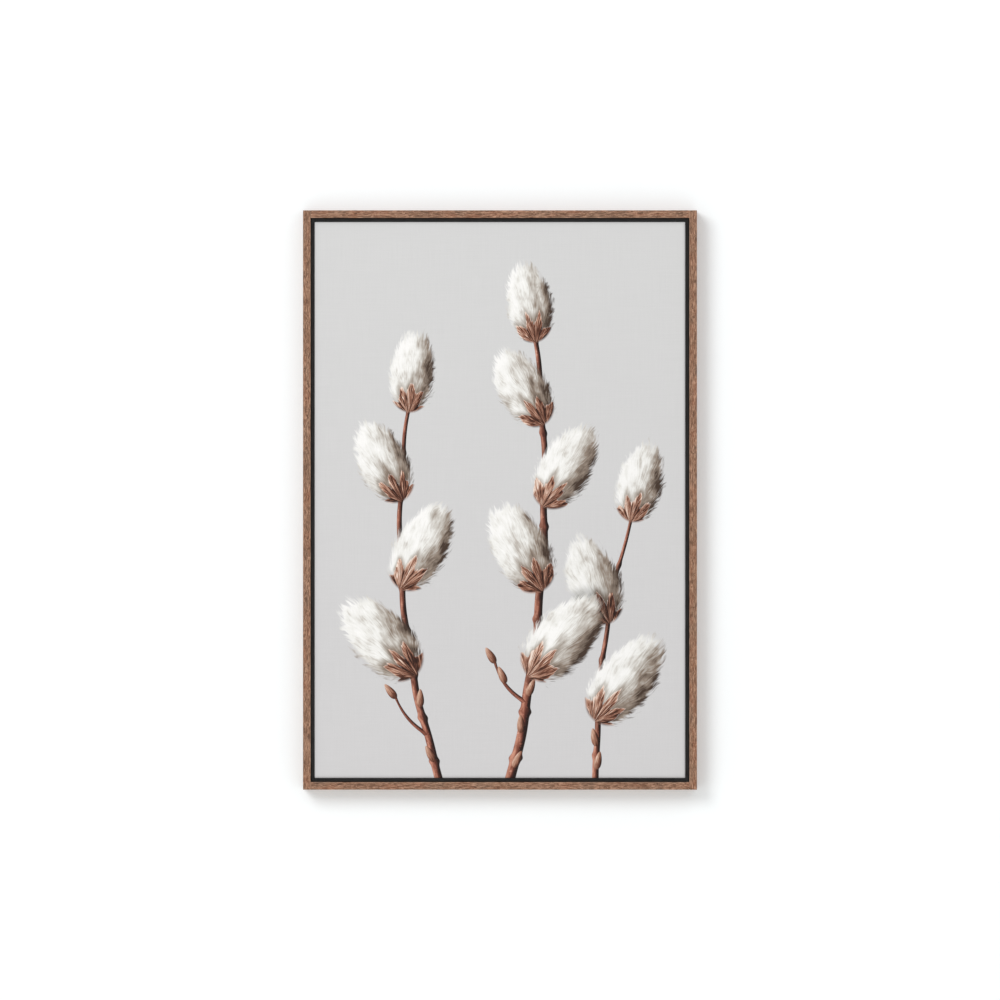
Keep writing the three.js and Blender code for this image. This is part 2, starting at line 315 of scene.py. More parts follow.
def makeWoodGrain():
    # grain runs along Z. Late wood: how far the distance from the pith, pushed about by slow noise, has
    # come through its yearly ring. Flecks, fibres and pores: finer and finer noise drawn out along Z.
    given = startGroup("wood grain", vector=(0, 0, 0), ring=0.003, wander=0.004, wave=0.06, fleck=0.02,
                       pith=(0.035, 0.035, 0))
    place = split(given["vector"])
    waves = join(times(place[0], 40.0), times(place[1], 40.0), over(place[2], given["wave"]))
    drift = vectorCalc("SUBTRACT", noise(waves, 1.0, 2.0, "Color"), (0.5, 0.5, 0.5))
    wander = join(given["wander"], given["wander"], given["wander"])
    pushed = vectorCalc("MULTIPLY_ADD", drift, wander, given["vector"])
    flecks = noise(vectorCalc("MULTIPLY", pushed, join(960.0, 960.0, over(1.0, given["fleck"]))), 1.0, 2.0)
    flat = vectorCalc("MULTIPLY", pushed, (1, 1, 0))
    radius = vectorCalc("DISTANCE", flat, given["pith"], output="Value")
    age = calc("FRACT", over(radius, given["ring"]))
    late = times(step(age, 0.15, 0.85), step(age, 1.0, 0.86))
    fibres = noise(stretched(given["vector"], 620, 26), 1.0, 3.0)
    pores = step(noise(stretched(given["vector"], 1250, 60), 1.0, 1.0), 0.60, 0.72)
    height = summed(0.0, (fibres, 0.5), (late, 0.25), (pores, -0.6))
    return finishGroup(late=late, flecks=flecks, fibres=fibres, pores=pores, height=height)


def makeEdgeWearAndHighlight():
    # each axis tells how near a point is to the box's two faces; where two axes are near at once there is an edge,
    # and slow noise breaks the line up. Materials lay it as edge wear, and on the walnut also as a painted
    # highlight
    given = startGroup("edge wear", vector=(0, 0, 0), low=(0, 0, 0), high=(1, 1, 1), width=0.001)
    fromLow = vectorCalc("ABSOLUTE", vectorCalc("SUBTRACT", given["vector"], given["low"]))
    fromHigh = vectorCalc("ABSOLUTE", vectorCalc("SUBTRACT", given["high"], given["vector"]))
    near = split(vectorCalc("MINIMUM", fromLow, fromHigh))
    closeness = [step(near[axis], given["width"], 0.0) for axis in range(3)]
    edge = calc("SUBTRACT", plus(plus(closeness[0], closeness[1]), closeness[2]), 1.0, clamp=True)
    broken = step(noise(given["vector"], 60.0, 3.0), 0.36, 0.66)
    return finishGroup(wear=times(edge, broken))


def makeHandling():
    # blotches of slow noise, thin scratches where a drawn-out noise crosses its middle value, specks of dust
    given = startGroup("handling", vector=(0, 0, 0), size=0.02)
    sized = vectorCalc("DIVIDE", given["vector"], join(given["size"], given["size"], given["size"]))
    lines = noise(mapped(sized, turn=(0.3, 0.5, 0.7), size=(9, 0.8, 0.8)), 1.0, 2.0)
    scratches = step(calc("ABSOLUTE", minus(lines, 0.5)), 0.006, 0.0)
    dust = step(noise(sized, 34.0, 1.0), 0.70, 0.78)
    return finishGroup(blotches=noise(sized, 1.0, 3.0), scratches=scratches, dust=dust)


def makePlainWeave():
    # S = sin a sin b is the chequer of over and under; height is the larger of |sin a| (1 + S) / 2 and
    # |sin b| (1 - S) / 2, with a and b counting threads that slow noise makes thicker and thinner
    given = startGroup("plain weave", vector=(0, 0, 0), pitch=0.0006)
    place = split(given["vector"])
    uneven = [noise(vectorCalc("MULTIPLY", given["vector"], drawn), 1.0, 2.0)
              for drawn in ((16, 520, 0), (520, 16, 0))]
    sines = []
    for axis in (0, 1):
        shifted = plus(place[axis], times(uneven[1 - axis], 0.2 * mm))
        sines.append(calc("SINE", over(times(shifted, math.pi), given["pitch"])))
    chequer = times(sines[0], sines[1])
    threads = []
    for axis, sign in ((0, 0.5), (1, -0.5)):
        onTop = plus(times(chequer, sign), 0.5)
        threads.append(times(calc("ABSOLUTE", sines[axis]), onTop))
    height = calc("MAXIMUM", threads[0], threads[1])
    slubs = times(plus(uneven[0], uneven[1]), 0.5)
    return finishGroup(height=height, gaps=step(height, 0.30, 0.05), slubs=slubs)


print("shared effects")
woodGrain = makeWoodGrain()
edgeWearAndHighlight = makeEdgeWearAndHighlight()
handling = makeHandling()
plainWeave = makePlainWeave()


upright = (0, 0, 0)  # turns that lay a pattern's Z along a piece
level = (0, math.radians(90), 0)


def boardPlace(place, nodeName, turn, cutFrom):
    # where a piece's points lie in the board that it was cut from, whose grain runs along Z
    low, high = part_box(nodeName)
    return mapped(vectorCalc("SUBTRACT", place, (low + high) / 2), cutFrom, turn)


def wearAndHighlightOf(place, nodeName, width):
    low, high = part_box(nodeName)
    return useGroup(edgeWearAndHighlight, vector=place, low=low, high=high, width=width)["wear"]


walnut = {
    "mid": (138, 99, 73),
    "dark": (74, 42, 24),
    "light": (197, 155, 129),
    "red": (150, 97, 68),
    "grey": (128, 99, 77),
    "pore": (56, 34, 22),
    "grain": {"ring": 0.0026, "wander": 0.0046, "wave": 0.0080, "fleck": 0.011},
    # pale edges: rubbed wear, and a painted highlight where the rounded edges would catch light
    "edgeTone": (196, 164, 142),
    "wearAndHighlightWidth": 1.1 * mm,
    "paint": (30, 28, 27),
    "paintFrom": 1.3 * mm,  # how far below the front face the black paint of the inner face starts
    "roughness": (0.44, 0.62),
    "bump": 0.12 * mm,
    "gloss": {"Specular IOR Level": 0.4, "Coat Weight": 0.08, "Coat Roughness": 0.35},
}
slats = {
    "stile_left": {"turn": upright, "inward": (1, 0, 0), "cutFrom": (0.000, 0.010, 0.00)},
    "stile_right": {"turn": upright, "inward": (-1, 0, 0), "cutFrom": (0.013, -0.006, 3.10)},
    "rail_top": {"turn": level, "inward": (0, 0, -1), "cutFrom": (0.006, 0.004, 5.70)},
    "rail_bottom": {"turn": level, "inward": (0, 0, 1), "cutFrom": (-0.009, 0.016, 8.20)},
}


def slatFinish(name, slat):
    # brown wood with short pale and dark flecks, darkened by late wood and pores, drifting to red and grey along
    # the slat, paler along its edges, partly rubbed wear and partly a painted highlight, and painted black on the
    # face towards the picture
    low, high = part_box(name)
    material, tree = startMaterial("walnut " + name, walnut["gloss"])
    place = objectPlace(tree)
    board = boardPlace(place, name, slat["turn"], slat["cutFrom"])
    grain = useGroup(woodGrain, vector=board, **walnut["grain"])
    drifts = split(noise(stretched(board, 80, 28), 1.0, 2.0, "Color"))
    late = times(grain["late"], step(drifts[2], 0.25, 0.65, 0.45, 1.0))

    inward = np.array(slat["inward"])
    face = float(max(inward @ np.array(low), inward @ np.array(high)))
    reach = vectorCalc("DOT_PRODUCT", place, slat["inward"], output="Value")
    onFace = step(reach, face - 0.30 * mm, face - 0.12 * mm)
    brushLine = times(noise(place, 140.0, 3.0), 0.6 * mm)
    depth = plus(split(place)[1], brushLine)
    paintStart = low.y + walnut["paintFrom"]
    painted = times(onFace, step(depth, paintStart, paintStart + 0.3 * mm))

    color = layered(
        walnut["mid"], walnut,
        (step(drifts[0], 0.44, 0.68, 0.0, 0.7), "red"),
        (step(drifts[1], 0.44, 0.70, 0.0, 0.7), "grey"),
        (step(grain["fibres"], 0.48, 0.78, 0.0, 0.6), "light"),
        (times(late, 0.2), "dark"),
        (step(grain["flecks"], 0.50, 0.68, 0.0, 0.8), "light"),
        (step(grain["flecks"], 0.50, 0.32, 0.0, 0.8), "dark"),
        (times(grain["pores"], 0.6), "pore"),
        # rubbed wear and a painted highlight along the edges
        (times(wearAndHighlightOf(place, name, walnut["wearAndHighlightWidth"]), 0.55), "edgeTone"),
        (painted, "paint"),
    )
    roughness = step(grain["fibres"], 0.3, 0.7, *walnut["roughness"])
    roughness = minus(roughness, times(painted, 0.12))
    return finishMaterial(material, color, roughness, grain["height"], walnut["bump"])


def dressNode(name, material):
    slots = nodes[name].data.materials
    slots.clear()
    slots.append(material)


for name, slat in slats.items():
    dressNode(name, slatFinish(name, slat))
print("slats")


blackPaint = {
    # a paler black than the paint's own: painted light for the face in the gap, darkened behind it in battenFinish
    "color": (79, 76, 74),
    "worn": (110, 98, 88),
    "brush": (90, 87, 84),
    "dust": (120, 116, 110),
    "wornWidth": 0.8 * mm,
    "behind": 0.42,  # share of the colour kept away from the gap, where the paint shows its real black; on the gap face the colour stays paler, as painted light
    "roughness": (0.30, 0.44),
    "bump": 0.06 * mm,
    "gloss": {"Specular IOR Level": 0.5},
}


def battenFinish(name, turn):
    # satin black paint: brush marks along the batten, soft blotches of gloss, a few specks and worn edges, and
    # paler on the face in the gap, as painted light where the deep gap gets little light
    material, tree = startMaterial("black paint " + name, blackPaint["gloss"])
    place = objectPlace(tree)
    brush = noise(stretched(mapped(place, turn=turn), 900, 14), 1.0, 2.0)
    marks = useGroup(handling, vector=place, size=12 * mm)
    color = layered(
        blackPaint["color"], blackPaint,
        (step(brush, 0.45, 0.8), "brush"),
        (times(marks["dust"], 0.25), "dust"),
        (times(wearAndHighlightOf(place, name, blackPaint["wornWidth"]), 0.7), "worn"),
    )
    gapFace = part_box(name)[0].y
    # painted light: the face in the gap keeps the paler colour, and behind it the paint goes to its real black
    paintedGapLight = step(split(place)[1], gapFace + 1 * mm, gapFace + 4 * mm, 1.0, blackPaint["behind"])
    roughness = step(marks["blotches"], 0.3, 0.7, *blackPaint["roughness"])
    roughness = plus(roughness, times(marks["dust"], 0.3))
    return finishMaterial(material, darkened(color, paintedGapLight), roughness, brush, blackPaint["bump"])


for side, turn in (("left", upright), ("right", upright), ("top", level), ("bottom", level)):
    dressNode("ledge_" + side, battenFinish("ledge_" + side, turn))
print("battens")


bareWood = {
    "wornWidth": 1.2 * mm,
    "roughness": (0.78, 0.62),  # of early and of late wood
    "bump": 0.15 * mm,
    "gloss": {"Specular IOR Level": 0.35},
}
pine = {
    "early": (232, 205, 160),
    "late": (201, 152, 98),
    "resin": (178, 118, 66),
    "aged": (216, 182, 134),
    "grain": {"ring": 0.0042, "wander": 0.016, "wave": 0.16},
    "worn": (240, 220, 182),
}
birch = {
    "early": (226, 204, 166),
    "late": (205, 176, 132),
    "resin": (170, 132, 92),
    "aged": (214, 188, 146),
    "grain": {"ring": 0.0016, "wander": 0.003, "wave": 0.05},
    "worn": (236, 220, 190),
}


def bareWoodFinish(name, wood, turn, cutFrom):
    # unfinished wood: pale early wood, browner late wood, fine resin lines, aged in blotches and pale edges
    material, tree = startMaterial("bare wood " + name, bareWood["gloss"])
    place = objectPlace(tree)
    grain = useGroup(woodGrain, vector=boardPlace(place, name, turn, cutFrom), **wood["grain"])
    marks = useGroup(handling, vector=place, size=50 * mm)
    color = layered(
        wood["early"], wood,
        (step(marks["blotches"], 0.4, 0.75), "aged"),
        (times(grain["late"], 0.8), "late"),
        (times(grain["pores"], 0.35), "resin"),
        (step(grain["fibres"], 0.35, 0.75, 0.0, 0.22), "worn"),
        (wearAndHighlightOf(place, name, bareWood["wornWidth"]), "worn"),
    )
    roughness = step(grain["late"], 0.0, 1.0, *bareWood["roughness"])
    return finishMaterial(material, color, roughness, grain["height"], bareWood["bump"])


bars = {
    "stretcher_left": (upright, (0.010, 0.012, 0.3)),
    "stretcher_right": (upright, (-0.016, 0.004, 2.6)),
    "stretcher_top": (level, (0.020, -0.008, 4.9)),
    "stretcher_bottom": (level, (0.004, 0.018, 7.3)),
    "stretcher_brace": (level, (-0.008, 0.010, 9.6)),
}
for name, (turn, cutFrom) in bars.items():
    dressNode(name, bareWoodFinish(name, pine, turn, cutFrom))
keyNames = sorted(name for name in nodes if name.startswith("key_"))
for number, name in enumerate(keyNames):
    turn = (0, math.radians(45 if number % 2 else -45), 0)
    dressNode(name, bareWoodFinish(name, birch, turn, (0.004 * number, 0.01, 0.7 * number)))
print("stretcher and keys")


# Picture coordinates are metres from the middle of the picture: x to the right, y up. A twig's buds stand
# at shares of its length, the first of them on its side.
printLight = (-0.68, 0.35, 0.64)
twigsBehind = [
    {"foot": (0.160, -0.500), "tip": (0.216, -0.030), "bow": 0.020, "thick": 5.8 * mm, "side": -1,
     "buds": (0.30, 0.64, 1.0), "closed": (0.12, 0.20)},
]
twigsBefore = [
    {"foot": (-0.085, -0.500), "tip": (-0.150, 0.150), "bow": 0.040, "thick": 7.0 * mm, "side": 1,
     "buds": (0.34, 0.56, 0.78, 1.0), "closed": (0.11, 0.25)},
    {"foot": (0.008, -0.500), "tip": (0.058, 0.265), "bow": -0.036, "thick": 8.8 * mm, "side": -1,
     "buds": (0.285, 0.47, 0.65, 0.825, 1.0), "closed": (0.08, 0.155, 0.235)},
    {"foot": (-0.120, -0.385), "tip": (-0.171, -0.326), "bow": 0.005, "thick": 3.6 * mm, "side": 1,
     "buds": (), "closed": (1.0,)},
    {"foot": (0.042, -0.332), "tip": (-0.008, -0.268), "bow": 0.007, "thick": 4.0 * mm, "side": -1,
     "buds": (), "closed": (0.55, 1.0)},
]
bud = {
    "halfLength": (82 * mm, 64 * mm),  # of the lowest and the topmost bud
    "breadth": 0.58,
    "taper": 0.10,
    "lean": (0.60, 0.46),  # radians off its twig, low and high on it
}
closedBud = {"halfLength": 15 * mm, "breadth": 0.40, "taper": 0.35, "lean": 0.22}
fur = [
    (0.00, (68, 52, 42)),
    (0.28, (145, 130, 117)),
    (0.56, (206, 201, 194)),
    (0.78, (240, 239, 235)),
    (1.00, (252, 251, 249)),
]
scaleFan = 0.66  # radians that one bud scale covers, seen from the bud's base
scaleTones = [
    (0.00, (40, 20, 13)),
    (0.28, (104, 61, 45)),
    (0.52, (162, 115, 94)),
    (0.76, (209, 169, 147)),
    (1.00, (242, 224, 211)),
]
barkTones = [
    (0.00, (32, 16, 12)),
    (0.30, (84, 42, 32)),
    (0.55, (144, 86, 69)),
    (0.80, (206, 145, 122)),
    (1.00, (234, 196, 178)),
]
jointSpacing = 74 * mm  # between the knots of a twig
crook = 1.6 * mm  # how far it bends aside between two knots
tipShare = 0.45  # a twig's thickness at its tip, of that at its foot
ground = {"upper": (214, 214, 214), "lower": (211, 210, 211), "primer": (238, 236, 230)}


def shadeOf(across, along, turn):
    # light . normal for a surface whose normal leans by across and along from the picture's own
    cosine = calc("COSINE", turn)
    sine = calc("SINE", turn)
    lightAlong = plus(times(cosine, printLight[0]), times(sine, printLight[1]))
    lightAcross = minus(times(cosine, printLight[1]), times(sine, printLight[0]))
    squares = timesPlus(along, along, times(across, across))
    outward = calc("SQRT", calc("SUBTRACT", 1.0, squares, clamp=True))
    return summed(times(across, lightAcross), (along, lightAlong), (outward, printLight[2]))


noShape = {"local": (0, 0, 0), "nearest": 99.0, "seed": 0.0}  # what a chain of shapes starts from


def keepNearest(given, local, reach):
    # of this shape and those before it, the one that the point is deepest in
    closer = calc("LESS_THAN", reach, given["nearest"])
    seeds = choose(closer, join(given["seed"]), join(given["ownSeed"]))
    return finishGroup(
        local=choose(closer, given["local"], local),
        nearest=calc("MINIMUM", reach, given["nearest"]),
        seed=split(seeds)[0],
    )


def addShape(group, chain, **values):
    for label in noShape:
        values[label] = chain[label]
    return useGroup(group, **values)


def makeNearestTwig():
    # along h from foot to tip: middle line bow 4 h (1 - h) + crook sin(pi joints h), radius from base to tip
    # with a knot at each joint; reach is the distance from the middle line over the radius, 1 on the outline
    given = startGroup("nearest twig", vector=(0, 0, 0), foot=(0, 0, 0), turn=0.0, length=1.0, bow=0.0,
                       base=0.005, tip=0.002, joints=6.0, ownSeed=0.0, **noShape)
    turn = join(0.0, 0.0, given["turn"])
    place = split(mapped(given["vector"], given["foot"], turn, kind="TEXTURE"))
    share = over(place[0], given["length"])
    arch = times(share, minus(1.0, share))
    beat = times(share, times(given["joints"], math.pi))
    middle = times(times(arch, 4.0), given["bow"])
    middle = timesPlus(calc("SINE", beat), crook, middle)
    across = minus(place[1], middle)
    narrow = minus(given["tip"], given["base"])
    radius = timesPlus(narrow, calc("MINIMUM", share, 1.0), given["base"])
    knot = calc("POWER", calc("ABSOLUTE", calc("COSINE", beat)), 40.0)
    radius = times(radius, timesPlus(knot, 0.38, 1.0))
    across = over(across, radius)
    halfLength = times(given["length"], 0.5)
    fromHalfway = calc("ABSOLUTE", minus(place[0], halfLength))
    past = calc("MAXIMUM", over(minus(fromHalfway, halfLength), radius), 0.0)
    reach = lengthOf(past, across)
    shade = shadeOf(across, 0.0, given["turn"])
    return keepNearest(given, join(across, place[0], shade), reach)


def makeNearestBud():
    # an egg: reach is the length of (u / (1 - taper w), w), with u across and w along in half sizes
    given = startGroup("nearest bud", vector=(0, 0, 0), centre=(0, 0, 0), turn=0.0, halfLength=0.05,
                       halfBreadth=0.026, taper=0.16, ownSeed=0.0, **noShape)
    turn = join(0.0, 0.0, given["turn"])
    size = join(given["halfLength"], given["halfBreadth"], 1.0)
    place = split(mapped(given["vector"], given["centre"], turn, size, "TEXTURE"))
    narrowed = minus(1.0, times(place[0], given["taper"]))
    across = over(place[1], narrowed)
    reach = lengthOf(across, place[0])
    shade = shadeOf(across, times(place[0], 0.7), given["turn"])
    return keepNearest(given, join(across, place[0], shade), reach)


nearestTwig = makeNearestTwig()
nearestBud = makeNearestBud()


def lengthAndTurn(twig):
    x, y = np.array(twig["tip"]) - twig["foot"]
    return math.hypot(x, y), math.atan2(y, x)


def standAt(twig, share):
    # the point of the middle line at that share of the twig's length, and its heading there
    length, turn = lengthAndTurn(twig)
    ahead = np.array((math.cos(turn), math.sin(turn)))
    aside = np.array((-ahead[1], ahead[0]))
    bow = 4 * twig["bow"]
    point = twig["foot"] + ahead * length * share + aside * bow * share * (1 - share)
    return point, turn + math.atan(bow * (1 - 2 * share) / length)


def drawTwigs(place, twigs):
    chain = noShape
    for number, twig in enumerate(twigs):
        length, turn = lengthAndTurn(twig)
        chain = addShape(
            nearestTwig, chain, vector=place, foot=(*twig["foot"], 0), turn=turn, length=length,
            bow=twig["bow"], base=twig["thick"], tip=twig["thick"] * tipShare,
            joints=round(length / jointSpacing), ownSeed=3.7 * number)
    return chain


def drawBud(place, chain, twig, share, lean, halfLength, form):
    # an egg whose base is sunk a little into the twig at that share of its length
    point, heading = standAt(twig, share)
    heading += lean
    centre = point + halfLength * 0.97 * np.array((math.cos(heading), math.sin(heading)))
    return addShape(
        nearestBud, chain, vector=place, centre=(*centre.tolist(), 0), turn=heading, halfLength=halfLength,
        halfBreadth=halfLength * form["breadth"], taper=form["taper"],
        ownSeed=23 * share + 17 * twig["foot"][0])


def drawBuds(place, twigs):
    # buds stand left and right in turn, each leaning off its twig, and the last one ends the twig; the
    # closed ones lie close to the bark below them
    opened = closed = noShape
    for twig in twigs:
        for number, share in enumerate(twig["buds"]):
            side = 0.1 if share == 1.0 else twig["side"] * (-1) ** number
            lean = side * float(np.interp(share, (0.3, 1.0), bud["lean"]))
            halfLength = float(np.interp(share, (0.3, 1.0), bud["halfLength"]))
            opened = drawBud(place, opened, twig, share, lean, halfLength, bud)
        for number, share in enumerate(twig["closed"]):
            lean = twig["side"] * (-1) ** number * closedBud["lean"]
            closed = drawBud(place, closed, twig, share, lean, closedBud["halfLength"], closedBud)
    return opened, closed


def noiseOn(chain, across, along, scale, detail):
    # noise about zero, other on each shape
    return minus(noise(join(across, along, chain["seed"]), scale, detail), 0.5)


def furOf(chain):
    # hairs fan out from the bud's base: their coordinates are the angle and the distance from there. They
    # fray the outline and streak the egg's own shading. Papery scales hold the base: t runs from -1 to 1
    # over each one's part of the fan, and it ends at the distance 0.50 + 0.36 (1 - |t|)
    across, along, shade = split(chain["local"])
    fromBase = plus(along, 1.12)
    angle = calc("ARCTAN2", across, fromBase)
    far = lengthOf(fromBase, across)
    clumps = noiseOn(chain, times(angle, 4.2), times(far, 1.7), 1.0, 2.0)
    bent = timesPlus(angle, 30.0, times(clumps, 8.0))
    hairs = noiseOn(chain, bent, times(far, 3.6), 1.0, 4.0)
    tufts = noiseOn(chain, across, along, 2.6, 3.0)
    frayed = summed(chain["nearest"], (hairs, 0.55), (clumps, 0.26))
    tone = summed(0.20, (shade, 0.76), (clumps, 0.50), (hairs, 0.66), (tufts, 1.00))
    tone = plus(tone, step(chain["nearest"], 0.72, 1.05, 0.0, 0.10))

    fan = calc("FRACT", plus(over(angle, scaleFan), chain["seed"]))
    t = timesPlus(fan, 2.0, -1.0)
    offMiddle = calc("ABSOLUTE", t)
    beyond = minus(far, summed(0.86, (offMiddle, -0.36), (clumps, 0.45), (hairs, 0.10)))
    scaleTone = summed(0.24, (shade, 0.42), (hairs, 2.6), (clumps, 0.8), (t, 0.14))
    scaleTone = plus(scaleTone, step(beyond, -0.10, -0.01, 0.0, 0.24))  # a pale dry rim
    scaleTone = plus(scaleTone, step(offMiddle, 0.70, 1.0, 0.0, -0.42))  # dark between two
    cap = step(beyond, 0.02, -0.02)
    tone = times(tone, step(beyond, 0.0, 0.30, 0.55, 1.0))  # the scales' own shadow
    color = blend(cap, shades(tone, fur), shades(scaleTone, scaleTones))
    capMask = times(cap, step(chain["nearest"], 1.10, 1.02))
    furMask = times(step(frayed, 1.08, 0.87), minus(1.0, cap))
    return color, calc("MAXIMUM", capMask, furMask)


def closedOf(chain):
    # a bud still shut: one smooth brown scale with the egg's own shading, streaked along its length
    across, along, shade = split(chain["local"])
    streaks = noiseOn(chain, times(across, 3.0), along, 1.6, 2.0)
    tone = summed(0.10, (shade, 0.66), (streaks, 0.7))
    return shades(tone, scaleTones), step(chain["nearest"], 1.05, 0.95)


def barkOf(chain):
    # round bark: the cylinder's shading streaked along the twig, with short pale pores across it
    across, along, shade = split(chain["local"])
    streaks = noiseOn(chain, times(across, 1.6), times(along, 60.0), 1.0, 4.0)
    pores = noiseOn(chain, times(across, 1.3), times(along, 420.0), 1.0, 1.0)
    tone = summed(-0.16, (shade, 0.96), (streaks, 0.95))
    tone = plus(tone, step(pores, 0.16, 0.26, 0.0, 0.22))
    return shades(tone, barkTones), step(chain["nearest"], 1.06, 0.94)


cloth = {
    "cell": 10 * mm,
    "rimCells": (1.4 * mm, 4.5 * mm),  # extra lines beside each edge
    "frontRadius": (3.6 * mm, 1.8 * mm),  # half axes of the rounded front edge, along the face and back
    "backRadius": 1.0 * mm,
    "flap": 26 * mm,
    "thickness": 0.5 * mm,
    "hollow": 0.35 * mm,  # how far the stretched cloth sinks in the middle
    "ripple": 0.07 * mm,  # pulls at the staples, along the edge
    "rippleLength": 62 * mm,
    "rippleReach": 18 * mm,
    "rimFree": 6 * mm,  # beside the edge, where the bar holds the cloth level
    "cornerPull": 0.35 * mm,
    "pitch": 0.62 * mm,
    "printPastEdge": 8 * mm,  # how far the ink runs on to the folded back
    "edgeTone": (0.96, 0.90),  # painted shade: how dark the print goes by its edges at the sides and at the ends
    "printGloss": {"Specular IOR Level": 0.28, "Sheen Weight": 0.06},
    "printRoughness": (0.86, 0.70),  # between the threads and on top of them
    "printBump": 0.10 * mm,
    "backGloss": {"Specular IOR Level": 0.2, "Sheen Weight": 0.1},
    "backRoughness": (0.95, 0.85),
    "backBump": 0.14 * mm,
}
backTones = {
    "thread": (226, 220, 207),
    "other": (220, 212, 197),
    "slub": (198, 186, 162),
    "gap": (150, 138, 116),
    "seed": (128, 104, 76),
}
clothLow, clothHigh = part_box("canvas")
halfWidth = (clothHigh.x - clothLow.x) / 2
halfHeight = (clothHigh.z - clothLow.z) / 2
clothDepth = clothHigh.y - clothLow.y


def printedFinish():
    # ink over primed cloth: the ground's slow gradient, twigs and buds drawn by formula, white primer past the
    # ink's edge, the weave in both colour and bump with painted shade between its threads, and painted shade along
    # the picture's edges
    material, tree = startMaterial("printed cloth", cloth["printGloss"])
    flat = add(tree, "UVMap", uv_map="cloth").outputs[0]
    place = split(flat)
    upward = step(place[1], -halfHeight, halfHeight)
    color = blend(upward, ground["lower"], ground["upper"])
    layers = [(drawTwigs(flat, twigs), *drawBuds(flat, twigs)) for twigs in (twigsBehind, twigsBefore)]
    fromFront = step(layers[1][1]["nearest"], 0.98, 1.40, 0.50, 0.97)  # the front buds shade what is behind
    for number, (twig, opened, closed) in enumerate(layers):
        fromBuds = step(opened["nearest"], 0.98, 1.45, 0.55, 1.0)  # and all buds the twig beside them
        bark, barkMask = barkOf(twig)
        for drawn, mask in ((darkened(bark, fromBuds), barkMask), closedOf(closed), furOf(opened)):
            color = blend(mask, color, drawn if number else darkened(drawn, fromFront))
    weave = useGroup(plainWeave, vector=flat, pitch=cloth["pitch"])
    # painted shade in the gaps between the threads
    dark = timesPlus(weave["gaps"], -0.07, 1.0)
    dark = times(dark, step(weave["slubs"], 0.3, 0.7, 0.985, 1.015))
    primer = 0.0
    for axis, half in enumerate((halfWidth, halfHeight)):
        out = calc("ABSOLUTE", place[axis])
        inkEnd = half + clothDepth + cloth["printPastEdge"]
        primer = calc("MAXIMUM", primer, step(out, inkEnd - 0.2 * mm, inkEnd + 0.2 * mm))
        # painted shade along the picture's edges, deeper at the ends than at the sides
        dark = times(dark, step(out, half - 7 * mm, half - 0.5 * mm, 1.0, cloth["edgeTone"][axis]))
    color = blend(primer, color, ground["primer"])
    roughness = step(weave["height"], 0.1, 0.9, *cloth["printRoughness"])
    height = timesPlus(weave["slubs"], 0.6, weave["height"])
    return finishMaterial(material, darkened(color, dark), roughness, height, cloth["printBump"], 0.8)


def reverseFinish():
    # the cloth's unprimed back: the same weave, natural colour, painted shade between its threads, a few seed
    # specks
    material, tree = startMaterial("cloth reverse", cloth["backGloss"])
    flat = add(tree, "UVMap", uv_map="cloth").outputs[0]
    weave = useGroup(plainWeave, vector=flat, pitch=cloth["pitch"])
    marks = useGroup(handling, vector=flat, size=90 * mm)
    color = layered(
        backTones["thread"], backTones,
        (step(marks["blotches"], 0.2, 0.8), "other"),
        (step(weave["slubs"], 0.45, 0.75, 0.0, 0.5), "slub"),
        # painted shade in the hollows between the threads
        (times(weave["gaps"], 0.35), "gap"),
        (times(marks["dust"], 0.3), "seed"),
    )
    roughness = step(weave["height"], 0.1, 0.9, *cloth["backRoughness"])
    height = timesPlus(weave["slubs"], 0.8, weave["height"])
    return finishMaterial(material, color, roughness, height, cloth["backBump"])


def makePiece(name, points, faces, materials, smooth=True):
    # a mesh from arrays of points and of quads
    mesh = bpy.data.meshes.new(name)
    mesh.from_pydata(points, [], faces)
    mesh.polygons.foreach_set("use_smooth", np.full(len(mesh.polygons), smooth))
    for material in materials:
        mesh.materials.append(material)
    mesh.update()
    piece = linked(name, mesh)
    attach(piece, "root")
    return piece


def gridFaces(rows, columns, closed=False):
    # quads of a grid of points numbered row by row; closed joins the last column to the first
    index = np.arange(rows * columns).reshape(rows, columns)
    if closed:
        index = np.hstack((index, index[:, :1]))
    corners = (index[:-1, :-1], index[:-1, 1:], index[1:, 1:], index[1:, :-1])
    return np.stack(corners, axis=-1).reshape(-1, 4)


def edgeStations():
    # how far in from the picture's edge, how deep and how far along the cloth each ring lies: a quarter
    # turn over the front edge, the side, a quarter turn over the back edge, the flap
    (face, front), back = cloth["frontRadius"], cloth["backRadius"]
    quarter = np.linspace(0, math.pi / 2, 6)
    backQuarter = quarter[1::2]
    sides = np.linspace(front, clothDepth - back, 4)[1:]
    flaps = np.linspace(back, cloth["flap"], 7)[1:]
    inset = np.concatenate((face * (1 - np.sin(quarter)), 0 * sides, back * (1 - np.cos(backQuarter)), flaps))
    depth = np.concatenate((front * (1 - np.cos(quarter)), sides,
                            clothDepth - back + back * np.sin(backQuarter), 0 * flaps + clothDepth))
    steps = np.hypot(np.diff(inset), np.diff(depth))
    return inset, depth, np.concatenate(([0], np.cumsum(steps)))


